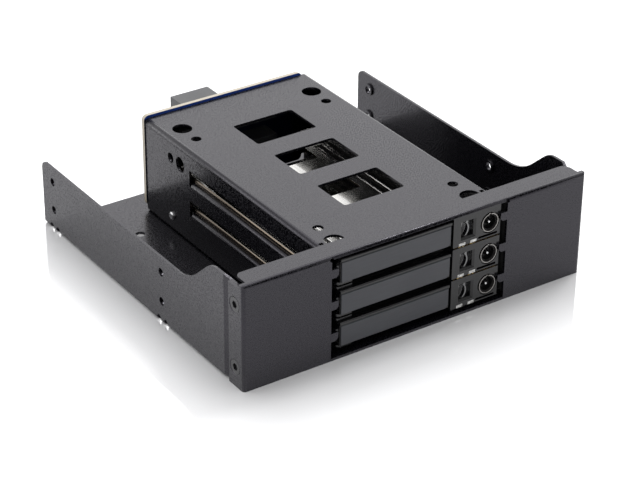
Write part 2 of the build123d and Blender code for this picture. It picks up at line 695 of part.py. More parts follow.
# Trays
for level in range(tray_count):
    base = pan_base(level)
    number = level + 1

    # Pan: a raised floor under the drive, side flanges turned down to the ledges, three windows
    pan_top = base + pan_rise
    pan_under = pan_top - pan_sheet
    tray_screw_places = [(s * tray_screw_x, back(tray_screw_setback), pan_under) for s in (-1, 1)]
    with BuildPart() as tray_pan:
        block((-pan_half, pan_half), (pan_front, pan_rear), (base, pan_top))
        fillet(tray_pan.edges().filter_by(Axis.Y).group_by(Axis.Z)[-1], pan_sheet)
        hollow = pan_half - pan_sheet
        block((-hollow, hollow), (pan_front, pan_rear), (base, pan_under), Mode.SUBTRACT)
        for level_z, bead_mode in ((pan_under, Mode.ADD), (pan_top, Mode.SUBTRACT)):
            with BuildSketch(face_plane(bead_start)):
                for middle in [s * c for s in (-1, 1) for c in bead_centres]:
                    with BuildLine():
                        ThreePointArc(
                            (middle - bead_width / 2, level_z),
                            (middle, level_z - bead_height),
                            (middle + bead_width / 2, level_z),
                        )
                        Line((middle - bead_width / 2, level_z), (middle + bead_width / 2, level_z))
                    make_face()
            extrude(amount=bead_start - bead_end, mode=bead_mode)
        with BuildSketch(Plane.XY.offset(pan_under)):
            for index in range(3):
                window_setback = window_first_setback + pan_window_shift + index * window_pitch
                with Locations((pan_window_centre_x, back(window_setback))):
                    RectangleRounded(window_width, window_length, window_corner)
            hole_middle = drive_front + drive_length - drive_hole_inset - drive_hole_pitch_y / 2
            with Locations((0, back(hole_middle))):
                with GridLocations(drive_hole_pitch_x, drive_hole_pitch_y, 2, 2):
                    Circle(mount_hole / 2)
        extrude(amount=pan_sheet, mode=Mode.SUBTRACT)
        with Locations(*tray_screw_places):
            Cone(
                tray_screw_head / 2,
                tray_screw_shank / 2,
                pan_sheet,
                align=(Align.CENTER, Align.CENTER, Align.MIN),
                mode=Mode.SUBTRACT,
            )
    export(tray_pan, f"tray_{number}_pan")

    # Two countersunk screws that join the pan to the moulded front
    with BuildPart() as tray_screws:
        with Locations(*tray_screw_places):
            Cone(
                tray_screw_head / 2,
                tray_screw_shank / 2,
                pan_sheet,
                align=(Align.CENTER, Align.CENTER, Align.MIN),
            )
            Cylinder(
                tray_screw_shank / 2,
                tray_screw_length,
                align=(Align.CENTER, Align.CENTER, Align.MIN),
            )
    export(tray_screws, f"tray_{number}_screws")

    # Moulded front: a lock module on the right, a bay for the lever on the left
    with BuildPart() as tray_front:
        shallow = cage_front - cover_clearance
        low = base + front_bottom
        high = base + front_top
        lever_low = base + lever_bottom - lever_gap
        lever_high = base + lever_bottom + lever_height + lever_gap
        lever_back = front_recess + lip_proud + lever_thickness
        block((module_left, front_right), (front_recess, shallow), (low, high))
        block((pin_x, module_left), (lever_back + lever_gap, shallow), (low, lever_high))
        ear_front = pin_setback - knuckle_radius
        block((front_left, pin_x + 2 * knuckle_radius), (ear_front, shallow), (low, lever_high + ear_top))
        fillet(
            tray_front.edges()
            .filter_by(Axis.Z)
            .filter_by(lambda e: abs(e.center().X - front_left) < 0.01)
            .sort_by(Axis.Y)[0],
            knuckle_radius,
        )
        block((front_left, front_right), (shallow, front_depth), (pan_top, base + body_top))
        block(
            (front_left, pin_x + 2 * knuckle_radius),
            (0, lever_back + lever_gap),
            (lever_low, lever_high),
            Mode.SUBTRACT,
        )
        with Locations((pin_x, back(pin_setback), (lever_low + lever_high) / 2)):
            Cylinder(knuckle_radius + knuckle_gap, lever_high - lever_low, mode=Mode.SUBTRACT)
        block(
            (front_left, pin_x),
            (0, pin_setback + knuckle_radius + knuckle_gap),
            (lever_low, lever_high),
            Mode.SUBTRACT,
        )
        with Locations((pin_x, back(pin_setback), base)):
            Cylinder(pin_diameter / 2, 4 * front_height, mode=Mode.SUBTRACT)
        claw_left = front_left - claw_gap / 2
        claw_front = lever_back - lever_thickness + face_thickness
        claw_swing = ((pin_x - claw_left) ** 2 + (pin_setback - claw_front) ** 2) ** 0.5
        claw_middle = base + tooth_rise + tooth_height / 2
        with Locations((pin_x, back(pin_setback), claw_middle)):
            Cylinder(claw_swing + knuckle_gap, claw_height + 2 * knuckle_gap, mode=Mode.SUBTRACT)
        pocket_left = pin_x + claw_swing + pocket_rib
        pocket_width = (module_left - pocket_left) / pocket_count
        for index in range(pocket_count):
            left = pocket_left + index * pocket_width
            block(
                (left, left + pocket_width - pocket_rib),
                (shallow + pocket_rib, front_depth - pocket_rib),
                (base + pocket_floor, base + front_top),
                Mode.SUBTRACT,
            )

        # Latch recess with its bevels, and the room behind it
        room_z = (base + recess_bottom - latch_cover - latch_gap, base + recess_top + latch_cover + latch_gap)
        room_left = module_left + front_wall
        room_right = recess_right + latch_cover + latch_travel + latch_gap + 0.1
        block((room_left, room_right), (latch_setback - 0.1, latch_room), room_z, Mode.SUBTRACT)
        with BuildSketch(face_plane(front_recess)):
            with Locations(
                ((recess_left + recess_right) / 2, base + (recess_bottom + recess_top) / 2)
            ):
                Rectangle(recess_right - recess_left, recess_top - recess_bottom)
        extrude(amount=-latch_setback, mode=Mode.SUBTRACT)
        mouth_edges = tray_front.edges().filter_by(
            lambda e: abs(e.center().Y - back(front_recess)) < 0.01
            and recess_left < e.center().X < recess_right + 0.01
            and base + recess_bottom - 0.01 < e.center().Z < base + recess_top - 0.01
        )
        chamfer(mouth_edges, recess_bevel)
        nose_z = (base + lock_rise - latch_nose / 2 - 0.1, base + lock_rise + latch_nose / 2 + 0.1)
        nose_back = latch_setback + latch_thickness + 0.1
        block((module_left - 1, room_left), (latch_setback - 0.1, nose_back), nose_z, Mode.SUBTRACT)

        # Key lock bore with its wider mouth
        with Locations((lock_x, back(front_recess), base + lock_rise)):
            Cylinder(lock_mouth / 2, 2 * lock_mouth_depth, rotation=(90, 0, 0), mode=Mode.SUBTRACT)
        bore_end = front_recess + lock_ring_length + barrel_collar_length + 2 * cam_gap
        with Locations((lock_x, back(bore_end / 2), base + lock_rise)):
            Cylinder(lock_ring / 2, bore_end, rotation=(90, 0, 0), mode=Mode.SUBTRACT)
        cam_room = cam_thickness + 2 * cam_gap
        with Locations((lock_x, back(bore_end + cam_room / 2), base + lock_rise)):
            Cylinder(cam_reach + cam_gap, cam_room, rotation=(90, 0, 0), mode=Mode.SUBTRACT)

        # Notches for the light pipes and the slot beside them
        for left in pipe_lefts:
            block(
                (left, left + pipe_width),
                (0, front_recess + pipe_length),
                (base, low + pipe_height),
                Mode.SUBTRACT,
            )
        with BuildSketch(face_plane(front_recess)):
            under_slot_middle = low + under_slot_rise + under_slot_height / 2
            with Locations(((under_slot_left + under_slot_right) / 2, under_slot_middle)):
                SlotOverall(under_slot_length, under_slot_height)
        extrude(amount=-under_slot_depth, mode=Mode.SUBTRACT)
        with Locations(*tray_screw_places):
            Cylinder(
                tray_screw_shank / 2,
                tray_screw_length,
                align=(Align.CENTER, Align.CENTER, Align.MIN),
                mode=Mode.SUBTRACT,
            )
    export(tray_front, f"tray_{number}_front")

    # Light pipes
    with BuildPart() as light_pipes:
        for left in pipe_lefts:
            block(
                (left, left + pipe_width),
                (front_recess - pipe_proud, front_recess + pipe_length),
                (low, low + pipe_height),
            )
    export(light_pipes, f"tray_{number}_light_pipes")

    # Lever: a bar with a rounded top lip, turning on a pin at its left end
    with BuildPart() as lever:
        lever_z = (base + lever_bottom, base + lever_bottom + lever_height)
        bar_front = front_recess + lip_proud
        block((lever_left, lever_right), (bar_front, lever_back), lever_z)
        lip_z = (lever_z[1] - lip_thickness, lever_z[1])
        block((lever_left, lever_right), (front_recess, lever_back), lip_z)
        top_edges = lever.edges().filter_by(Axis.X).group_by(Axis.Z)[-1]
        fillet(top_edges.sort_by(Axis.Y)[0], lip_proud)
        with Locations((pin_x, back(pin_setback), sum(lever_z) / 2)):
            Cylinder(knuckle_radius, lever_height)
        arm = (pin_x - knuckle_radius, pin_x + knuckle_radius)
        block(arm, (bar_front, pin_setback), lever_z)
        claw_z = (claw_middle - claw_height / 2, claw_middle + claw_height / 2)
        block((claw_left, pin_x), (claw_front, claw_front + claw_thickness), claw_z)
        block((lever_left, pin_x), (bar_front, pin_setback), claw_z)
        rib_start = pin_x + knuckle_radius + lever_rib
        rib_pitch = (lever_right - catch_depth - 2 * lever_rib - rib_start) / lever_pockets
        pocket_z = (lever_z[0] + lever_rim, lever_z[1] - lever_rim)
        for index in range(lever_pockets):
            left = rib_start + index * rib_pitch
            block(
                (left, left + rib_pitch - lever_rib),
                (lever_back - lever_pocket_depth, lever_back + lever_rib),
                pocket_z,
                Mode.SUBTRACT,
            )
        catch_half = latch_nose / 2 + 2 * joint_gap
        block(
            (lever_right - catch_depth, lever_right + lever_rib),
            (latch_setback - 2 * joint_gap, lever_back + lever_rib),
            (base + lock_rise - catch_half, base + lock_rise + catch_half),
            Mode.SUBTRACT,
        )
        with Locations((pin_x, back(pin_setback), sum(lever_z) / 2)):
            Cylinder(pin_diameter / 2 + pin_clearance, 2 * lever_height, mode=Mode.SUBTRACT)
    export(lever, f"tray_{number}_lever")

    # Metal plate on the lever's front
    with BuildPart() as lever_face:
        plate_low = lever_z[0] + face_margin / 2
        plate_high = lip_z[0] - face_margin
        with BuildSketch(face_plane(bar_front - face_thickness)):
            with BuildLine():
                Polyline(
                    (lever_left + face_margin, plate_low),
                    (lever_right - face_margin - face_chamfer, plate_low),
                    (lever_right - face_margin, plate_low + face_chamfer),
                    (lever_right - face_margin, plate_high),
                    (lever_left + face_margin, plate_high),
                    close=True,
                )
            make_face()
        extrude(amount=-face_thickness)
        chamfer(lever_face.faces().sort_by(Axis.Y)[0].edges(), face_thickness / 3)
    export(lever_face, f"tray_{number}_lever_face")

    # Hinge pin
    with BuildPart() as hinge_pin:
        pin_top = lever_high + ear_top - pin_clearance
        with Locations((pin_x, back(pin_setback), low + pin_clearance)):
            Cylinder(
                pin_diameter / 2,
                pin_top - low - pin_clearance,
                align=(Align.CENTER, Align.CENTER, Align.MIN),
            )
    export(hinge_pin, f"tray_{number}_hinge_pin")

    # Latch slider: a plate behind the recess with a finger ridge, a nose and a spring tab
    with BuildPart() as latch:
        latch_left = room_left + latch_gap
        plate_z = (base + recess_bottom - latch_cover, base + recess_top + latch_cover)
        plate_d = (latch_setback, latch_setback + latch_thickness)
        block((latch_left, recess_right + latch_cover), plate_d, plate_z)
        ridge_z = (base + recess_bottom + 0.6, base + recess_top - 0.6)
        ridge_middle = sum(ridge_z) / 2
        ridge_left = ridge_x - ridge_bow / 2
        with BuildSketch(face_plane(ridge_reach)):
            with BuildLine():
                ThreePointArc(
                    (ridge_left, ridge_z[0]),
                    (ridge_left + ridge_bow, ridge_middle),
                    (ridge_left, ridge_z[1]),
                )
                Line((ridge_left, ridge_z[1]), (ridge_left + ridge_width, ridge_z[1]))
                ThreePointArc(
                    (ridge_left + ridge_width, ridge_z[1]),
                    (ridge_left + ridge_bow + ridge_width, ridge_middle),
                    (ridge_left + ridge_width, ridge_z[0]),
                )
                Line((ridge_left + ridge_width, ridge_z[0]), (ridge_left, ridge_z[0]))
            make_face()
        extrude(amount=ridge_reach - latch_setback)
        nose_low = base + lock_rise - latch_nose / 2
        block((module_left - latch_gap, latch_left), plate_d, (nose_low, nose_low + latch_nose))
        tab_d = (plate_d[1], latch_room - latch_gap)
        block((latch_left, latch_left + latch_thickness), tab_d, (base + 3.5, base + 9.0))
    export(latch, f"tray_{number}_latch")

    # Latch spring: a folded leaf between the slider's tab and the end of its room
    with BuildPart() as latch_spring:
        start = latch_left + latch_thickness
        stop = room_right
        near = back(plate_d[1] + latch_gap + spring_thickness)
        far = back(plate_d[1] + latch_gap + spring_depth)
        folds = 4
        with BuildSketch(Plane.XY.offset(base + lock_rise - spring_width / 2)):
            with BuildLine() as leaf:
                Polyline(
                    *[
                        (start + (stop - start) * i / folds, near if i % 2 else far)
                        for i in range(folds + 1)
                    ]
                )
            trace(line_width=spring_thickness)
        extrude(amount=spring_width)
        split(bisect_by=Plane.YZ.offset(start), keep=Keep.TOP)
        split(bisect_by=Plane.YZ.offset(stop), keep=Keep.BOTTOM)
    export(latch_spring, f"tray_{number}_latch_spring")

    # Chromed lock ring with an index notch at the top
    with BuildPart() as lock_ring_part:
        ring_d = (front_recess - lock_ring_proud, front_recess - lock_ring_proud + lock_ring_length)
        with BuildSketch(face_plane(ring_d[0])):
            with Locations((lock_x, base + lock_rise)):
                Circle(lock_ring / 2)
                Circle(lock_ring / 2 - lock_ring_wall, mode=Mode.SUBTRACT)
        extrude(amount=-lock_ring_length)
        notch_x = (lock_x - key_slot / 2, lock_x + key_slot / 2)
        notch_z = (base + lock_rise, base + lock_rise + lock_ring)
        block(notch_x, (0, ring_d[0] + lock_ring_wall), notch_z, Mode.SUBTRACT)
    export(lock_ring_part, f"tray_{number}_lock_ring")

    # Turning barrel with a key post, a collar behind the ring and a locking cam
    with BuildPart() as lock_barrel:
        barrel_radius = lock_ring / 2 - lock_ring_wall - barrel_gap
        barrel_front = front_recess + barrel_recess
        collar_front = ring_d[1] + barrel_gap
        with BuildSketch(face_plane(barrel_front)):
            with Locations((lock_x, base + lock_rise)):
                Circle(barrel_radius)
        extrude(amount=barrel_front - collar_front)
        with BuildSketch(face_plane(collar_front)):
            with Locations((lock_x, base + lock_rise)):
                Circle(lock_ring / 2 - barrel_collar_gap)
        extrude(amount=-barrel_collar_length)
        cam_front = collar_front + barrel_collar_length
        block(
            (lock_x - cam_width / 2, lock_x + cam_width / 2),
            (cam_front, bore_end + cam_gap + cam_thickness),
            (base + lock_rise - cam_width / 2, base + lock_rise + cam_width / 2),
        )
        block(
            (lock_x - cam_width / 2, lock_x + cam_width / 2),
            (bore_end + cam_gap, bore_end + cam_gap + cam_thickness),
            (base + lock_rise - cam_reach + cam_gap, base + lock_rise + cam_width / 2),
        )
        with BuildSketch(face_plane(barrel_front)):
            with Locations((lock_x, base + lock_rise)):
                Circle(barrel_radius - 0.5)
        extrude(amount=-key_well, mode=Mode.SUBTRACT)
        with Locations((lock_x, back(barrel_front + key_well / 2), base + lock_rise)):
            Cone(key_post, key_post_tip, key_well, rotation=(90, 0, 0))
        block(notch_x, (barrel_front, barrel_front + 2.0), notch_z, Mode.SUBTRACT)
    export(lock_barrel, f"tray_{number}_lock_barrel")
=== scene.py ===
# %% [markdown]
# # A hot swap drive cage for a half-height bay
# The cage is folded sheet steel with a black powder coat. It holds three removable trays, one
# above the other, and each tray has a moulded front with a lever, a latch and a key lock.
# The solid model already has every real piece at its real size. This file loads that model as a
# fixed frame, gives each piece its finish, adds the small parts that a solid model leaves out,
# and sets up the camera, the floor and the light. All lengths here are in metres.

# %% Load the solid model
import json
import math

import bmesh
import bpy
from mathutils import Matrix, Vector


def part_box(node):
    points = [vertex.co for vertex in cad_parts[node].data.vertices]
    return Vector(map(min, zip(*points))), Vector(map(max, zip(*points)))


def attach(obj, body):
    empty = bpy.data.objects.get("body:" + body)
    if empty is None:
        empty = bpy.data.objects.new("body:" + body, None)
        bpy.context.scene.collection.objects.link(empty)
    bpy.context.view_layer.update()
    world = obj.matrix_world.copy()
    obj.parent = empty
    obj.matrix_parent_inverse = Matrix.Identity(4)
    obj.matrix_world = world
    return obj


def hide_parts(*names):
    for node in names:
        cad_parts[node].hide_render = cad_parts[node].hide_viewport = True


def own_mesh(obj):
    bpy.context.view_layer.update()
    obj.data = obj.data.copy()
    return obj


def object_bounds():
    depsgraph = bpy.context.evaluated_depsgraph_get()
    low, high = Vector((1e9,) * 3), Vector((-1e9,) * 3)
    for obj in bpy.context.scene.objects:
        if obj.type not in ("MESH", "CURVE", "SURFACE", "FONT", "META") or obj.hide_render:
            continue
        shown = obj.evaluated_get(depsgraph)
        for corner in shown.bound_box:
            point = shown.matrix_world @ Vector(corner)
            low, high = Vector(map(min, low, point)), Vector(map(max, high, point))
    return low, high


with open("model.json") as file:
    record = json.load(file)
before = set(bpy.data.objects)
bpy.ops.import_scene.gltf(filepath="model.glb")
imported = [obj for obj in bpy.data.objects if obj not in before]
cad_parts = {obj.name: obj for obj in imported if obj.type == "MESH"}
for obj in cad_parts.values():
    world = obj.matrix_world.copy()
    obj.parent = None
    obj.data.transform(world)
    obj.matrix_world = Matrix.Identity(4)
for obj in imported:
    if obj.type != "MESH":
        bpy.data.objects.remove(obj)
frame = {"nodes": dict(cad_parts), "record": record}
cad_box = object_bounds()
mm = 0.001
print("pieces in the solid model:", len(frame["nodes"]))
print("its box, mm:", [[round(c / mm, 1) for c in corner] for corner in cad_box])

# %% [markdown]
# ## The camera
# The photograph was taken from the front left, about 30 degrees above the floor, with a long
# lens. A camera can be aimed with a constraint, but a matrix made from three directions is
# exact and needs no helper object: right, up and backwards are its columns.

# %% Aim the camera
AZIMUTH = math.radians(-34.479)
ELEVATION = math.radians(29.70)
ROLL = math.radians(0.577)
camera_place = Vector((-404.397, -619.878, 414.256)) * mm


def look_directions(azimuth, elevation, roll):
    """Right, up and forward of a camera that looks along +Y at azimuth 0."""
    forward = Vector((
        -math.sin(azimuth) * math.cos(elevation),
        math.cos(azimuth) * math.cos(elevation),
        -math.sin(elevation),
    ))
    right = Vector((math.cos(azimuth), math.sin(azimuth), 0))
    up = right.cross(forward)
    turn = Matrix.Rotation(-roll, 3, forward)
    return turn @ right, turn @ up, forward


right, up, forward = look_directions(AZIMUTH, ELEVATION, ROLL)
camera = bpy.data.objects.new("camera", bpy.data.cameras.new("camera"))
bpy.context.scene.collection.objects.link(camera)
pose = Matrix((right, up, -forward)).transposed().to_4x4()
pose.translation = camera_place
camera.matrix_world = pose
camera.data.lens = 124.95
camera.data.sensor_width = 36.0
camera.data.clip_start = 0.05
camera.data.clip_end = 50.0
bpy.context.scene.camera = camera
print("camera looks along", [round(c, 3) for c in forward])

# %% [markdown]
# ## A recipe for finishes
# Every finish starts from the same few nodes: a fine noise for the grain, a slow noise for
# patches, and one shader. The grain tints the colour a little, changes the gloss, and lifts the
# surface through a bump. Object coordinates are used because the pieces have no UV map, and they
# are in metres, so a grain of half a millimetre needs a scale of 2000.
#
# A node tree is verbose in Python: make a node, set its sockets, link it. So each kind of node
# gets a helper that does all three and hands back its output, and a finish then reads like a
# formula.

# %% Helpers for numbers
def new_finish(name):
    """An empty node material with its shader, output and object coordinates."""
    material = bpy.data.materials.new(name)
    material.use_nodes = True
    nodes = material.node_tree.nodes
    shader = nodes["Principled BSDF"]
    coordinates = nodes.new("ShaderNodeTexCoord")
    return material, shader, coordinates.outputs["Object"]


def fill(tree, socket, value):
    """Sets a socket to a constant, or links it to the output of another node."""
    if isinstance(value, bpy.types.NodeSocket):
        tree.links.new(value, socket)
    else:
        socket.default_value = value


def compute(owner, operation, *values):
    """A math node in the tree of a material or world, on numbers and outputs."""
    node = owner.node_tree.nodes.new("ShaderNodeMath")
    node.operation = operation
    for socket, value in zip(node.inputs, values):
        fill(owner.node_tree, socket, value)
    return node.outputs["Value"]


def spread(owner, value, low, high, from_low=0.3, from_high=0.7, smooth=False):
    """Turns a value, such as a noise, into a number between low and high."""
    node = owner.node_tree.nodes.new("ShaderNodeMapRange")
    node.inputs["From Min"].default_value = from_low
    node.inputs["From Max"].default_value = from_high
    node.inputs["To Min"].default_value = low
    node.inputs["To Max"].default_value = high
    if smooth:
        node.interpolation_type = "SMOOTHSTEP"
    owner.node_tree.links.new(value, node.inputs["Value"])
    return node.outputs["Result"]


print("helpers for numbers ready")

# %% [markdown]
# The grain needs three more helpers: the noise itself, the ramp that turns it into two colours,
# and the bump that lifts the surface with it.

# %% Helpers for grain
def noise(material, place, size, detail=2.0, stretch=(1, 1, 1)):
    """A noise whose blobs measure about size metres, longer along a stretched axis."""
    tree = material.node_tree
    mapping = tree.nodes.new("ShaderNodeMapping")
    mapping.inputs["Scale"].default_value = [1 / s for s in stretch]
    tree.links.new(place, mapping.inputs["Vector"])
    texture = tree.nodes.new("ShaderNodeTexNoise")
    texture.inputs["Scale"].default_value = 1 / size
    texture.inputs["Detail"].default_value = detail
    tree.links.new(mapping.outputs["Vector"], texture.inputs["Vector"])
    return texture.outputs["Fac"]


def tint(material, value, dark, light, from_low=0.3, from_high=0.7):
    """Turns a noise into a colour between dark and light."""
    ramp = material.node_tree.nodes.new("ShaderNodeValToRGB")
    dark_end, light_end = ramp.color_ramp.elements
    dark_end.position, dark_end.color = from_low, (*dark, 1)
    light_end.position, light_end.color = from_high, (*light, 1)
    material.node_tree.links.new(value, ramp.inputs["Fac"])
    return ramp.outputs["Color"]


def lift(material, shader, value, height):
    """Bumps the surface by a height in metres where the value goes from 0 to 1."""
    bump = material.node_tree.nodes.new("ShaderNodeBump")
    bump.inputs["Distance"].default_value = height
    bump.inputs["Strength"].default_value = 1.0
    material.node_tree.links.new(value, bump.inputs["Height"])
    material.node_tree.links.new(bump.outputs["Normal"], shader.inputs["Normal"])


print("helpers for grain ready")

# %% [markdown]
# `finish` puts the helpers together. Its gloss is a low and a high roughness, and the slow noise
# drifts between the two. Its speckle makes the fine grain duller, which a textured coat shows as
# sparkle. Any other socket of the shader is given by its name, with _ for each space.

# %% The recipe
PATCH_SIZE = 14 * mm


def finish(name, dark, light, gloss, grain, bump,
           metal=0.0, stretch=(1, 1, 1), speckle=0.0, **sockets):
    """A finish with grain: two colours, a low and a high roughness, and a bump height."""
    material, shader, place = new_finish(name)
    fine = noise(material, place, grain, detail=3.0, stretch=stretch)
    slow = noise(material, place, PATCH_SIZE, detail=1.0)
    links = material.node_tree.links
    links.new(tint(material, fine, dark, light), shader.inputs["Base Color"])
    roughness = spread(material, slow, *gloss)
    if speckle:
        dull = spread(material, fine, 0.0, speckle, 0.42, 0.60)
        roughness = compute(material, "ADD", roughness, dull)
    links.new(roughness, shader.inputs["Roughness"])
    shader.inputs["Metallic"].default_value = metal
    for socket, value in sockets.items():
        shader.inputs[socket.replace("_", " ")].default_value = value
    lift(material, shader, fine, bump)
    return material


print("a finish has patches of", round(PATCH_SIZE / mm, 1), "mm")

# %% [markdown]
# ## Powder coat
# The bracket, the bezel and the cage are steel with a baked black powder coat. Powder melts into
# a skin with a fine orange peel, so its gloss is broken up and the metal edges look soft. A black
# coat shows hardly any colour of its own: what the eye sees is the room in it. So the grain of
# 0.55 mm works mostly on the roughness, and the bump is only a thousandth of a millimetre. The
# specular tint gives the coat its slightly violet grey.

# %% Make the powder coat
powder_coat = finish(
    "powder_coat", (0.0003, 0.0003, 0.0005), (0.0018, 0.0018, 0.0036), (0.13, 0.15),
    grain=0.55 * mm, bump=0.0014 * mm, speckle=0.32,
    Specular_Tint=(0.92, 0.885, 1.0, 1),
)
black_screw = finish(
    "black_screw", (0.008, 0.008, 0.009), (0.014, 0.014, 0.016), (0.26, 0.34),
    grain=0.3 * mm, bump=0.006 * mm,
)
print("powder coat and screw finish made")

# %% [markdown]
# ## Zinc plate
# The tray pans are bright zinc plated sheet, rolled lengthways, so the noise is stretched along
# Y into faint streaks. The folded sides are given a dull, dark brownish colour and no coat: this
# is painted shade, so that they read dark where they show in the long slots of the cage walls.
# The direction of a surface tells the two apart: a folded side looks along X.

# %% Make the zinc plate
def component(owner, vector, axis):
    """One component of a vector."""
    node = owner.node_tree.nodes.new("ShaderNodeSeparateXYZ")
    owner.node_tree.links.new(vector, node.inputs["Vector"])
    return node.outputs[axis]


def blend_colours(owner, factor, first, second):
    """The first colour where the factor is 0 and the second where it is 1."""
    node = owner.node_tree.nodes.new("ShaderNodeMix")
    node.data_type = "RGBA"
    owner.node_tree.links.new(factor, node.inputs["Factor"])
    fill(owner.node_tree, node.inputs["A"], first)
    fill(owner.node_tree, node.inputs["B"], second)
    return node.outputs["Result"]


zinc_plate = finish(
    "zinc_plate", (0.42, 0.41, 0.39), (0.52, 0.51, 0.49), (0.20, 0.27),
    grain=0.6 * mm, bump=0.0002 * mm, metal=1.0, stretch=(1, 14, 1),
    Coat_Weight=1.0, Coat_Roughness=0.04, Coat_IOR=2.0,
)
# painted shade: the folded sides that look along X get a dark brownish colour and no coat
shaded_side_zinc = (0.16, 0.13, 0.10, 1)
zinc_shader = zinc_plate.node_tree.nodes["Principled BSDF"]
zinc_normal = zinc_plate.node_tree.nodes["Texture Coordinate"].outputs["Normal"]
sideways = compute(zinc_plate, "ABSOLUTE", component(zinc_plate, zinc_normal, "X"))
broad_face = spread(zinc_plate, sideways, 1.0, 0.0, 0.5, 0.7)
bright_zinc = zinc_shader.inputs["Base Color"].links[0].from_socket
zinc_colour = blend_colours(zinc_plate, broad_face, shaded_side_zinc, bright_zinc)
zinc_plate.node_tree.links.new(zinc_colour, zinc_shader.inputs["Base Color"])
zinc_plate.node_tree.links.new(broad_face, zinc_shader.inputs["Coat Weight"])
print("zinc plate made with", len(zinc_plate.node_tree.nodes), "nodes")

# %% [markdown]
# ## Chrome, screws and springs
# The lock ring is a dark chrome, the small screws and rivets are zinc plated and the springs are
# plain steel. The plate on each lever is aluminium under a dark grey lacquer: its brushed grain
# runs along X, and as the lacquer hides the metal's mirror, its metallic value is zero.

# %% Make the other metals
lock_chrome = finish(
    "lock_chrome", (0.19, 0.18, 0.17), (0.28, 0.27, 0.26), (0.10, 0.16),
    grain=0.4 * mm, bump=0.003 * mm, metal=1.0,
)
plated_screw = finish(
    "plated_screw", (0.55, 0.55, 0.56), (0.70, 0.70, 0.71), (0.25, 0.35),
    grain=0.4 * mm, bump=0.004 * mm, metal=1.0,
)
spring_steel = finish(
    "spring_steel", (0.38, 0.38, 0.39), (0.50, 0.50, 0.51), (0.22, 0.32),
    grain=0.5 * mm, bump=0.002 * mm, metal=1.0,
)
face_metal = finish(
    "face_metal", (0.026, 0.027, 0.033), (0.031, 0.033, 0.040), (0.34, 0.42),
    grain=0.5 * mm, bump=0.0008 * mm, metal=0.0, stretch=(20, 1, 1),
)
print("metal finishes made")

# %% [markdown]
# ## Moulded plastics
# The tray fronts and levers are black moulded plastic with a very fine spark texture. The latch
# sliders are glossier, because a finger rubs them: a high index of refraction gives them their
# bright ridge. The light pipes are clear plastic with a frosted end, so the grain runs from grey
# to white and only a little light goes through.

# %% Make the plastics
black_plastic = finish(
    "black_plastic", (0.0005, 0.0005, 0.0007), (0.006, 0.006, 0.007), (0.20, 0.26),
    grain=0.5 * mm, bump=0.004 * mm,
)
latch_plastic = finish(
    "latch_plastic", (0.003, 0.003, 0.004), (0.008, 0.008, 0.010), (0.06, 0.10),
    grain=0.4 * mm, bump=0.001 * mm, IOR=2.3,
)
lock_black = finish(
    "lock_black", (0.002, 0.002, 0.002), (0.006, 0.006, 0.006), (0.24, 0.34),
    grain=0.4 * mm, bump=0.002 * mm, Specular_IOR_Level=0.15,
)
connector_plastic = finish(
    "connector_plastic", (0.030, 0.031, 0.034), (0.050, 0.051, 0.055), (0.38, 0.46),
    grain=0.3 * mm, bump=0.006 * mm,
)
clear_plastic = finish(
    "clear_plastic", (0.12, 0.12, 0.12), (0.92, 0.92, 0.90), (0.28, 0.38),
    grain=0.8 * mm, bump=0.004 * mm, Transmission_Weight=0.15, IOR=1.49,
)
print("plastic finishes made")

# %% [markdown]
# ## Circuit board
# A circuit board is blue on its two large faces, where the lacquer is, and beige on its cut
# edges, where the glass fibre shows. The direction of each surface tells the two apart: the
# large faces look along Y. Its front is painted darker below the cover, as painted shade for the
# inside of the cage, and keeps a brighter blue along the top edge, above the cover.

# %% Make the circuit board
SHADE_TOP = 39.6 * mm
SHADE_FADE = 0.6 * mm
shaded_blue = (0.001, 0.004, 0.020, 1)
circuit_board, board_shader, board_place = new_finish("circuit_board")
board_normal = board_place.node.outputs["Normal"]
lacquer = tint(
    circuit_board, noise(circuit_board, board_place, 1.5 * mm, 2.0, (1, 1, 6)),
    (0.002, 0.022, 0.150), (0.004, 0.036, 0.220),
)
fibre = tint(
    circuit_board, noise(circuit_board, board_place, 0.3 * mm),
    (0.34, 0.30, 0.23), (0.46, 0.41, 0.33),
)
height_on_board = component(circuit_board, board_place, "Z")
facing = component(circuit_board, board_normal, "Y")
# painted shade: the board's front below the cover is coloured a darker blue than above it
below_cover = spread(circuit_board, height_on_board, 1.0, 0.0, SHADE_TOP, SHADE_TOP + SHADE_FADE)
to_front = spread(circuit_board, facing, 1.0, 0.0, -0.8, -0.6)
painted_shade = compute(circuit_board, "MULTIPLY", below_cover, to_front)
lacquer = blend_colours(circuit_board, painted_shade, lacquer, shaded_blue)
broad = spread(circuit_board, compute(circuit_board, "ABSOLUTE", facing), 0.0, 1.0, 0.6, 0.8)
board_colour = blend_colours(circuit_board, broad, fibre, lacquer)
circuit_board.node_tree.links.new(board_colour, board_shader.inputs["Base Color"])
board_shader.inputs["Roughness"].default_value = 0.32
print("circuit board made with", len(circuit_board.node_tree.nodes), "nodes")

# %% [markdown]
# ## Dress the pieces
# The record of the model names a material slot for every piece. One table from slot to finish
# dresses them all, so no piece can be forgotten.

# %% Give every piece its finish
finishes = {
    "black_steel": powder_coat,
    "black_screw": black_screw,
    "circuit_board": circuit_board,
    "plated_screw": plated_screw,
    "connector_plastic": connector_plastic,
    "zinc_plate": zinc_plate,
    "black_plastic": black_plastic,
    "clear_plastic": clear_plastic,
    "lock_chrome": lock_chrome,
    "spring_steel": spring_steel,
    "face_metal": face_metal,
    "latch_plastic": latch_plastic,
    "lock_black": lock_black,
}
subparts = frame["record"]["subparts"]
for row in subparts:
    materials = frame["nodes"][row["node"]].data.materials
    for index in range(len(materials)):
        materials[index] = finishes[row["material_slot"]]
print("pieces dressed:", len(subparts))

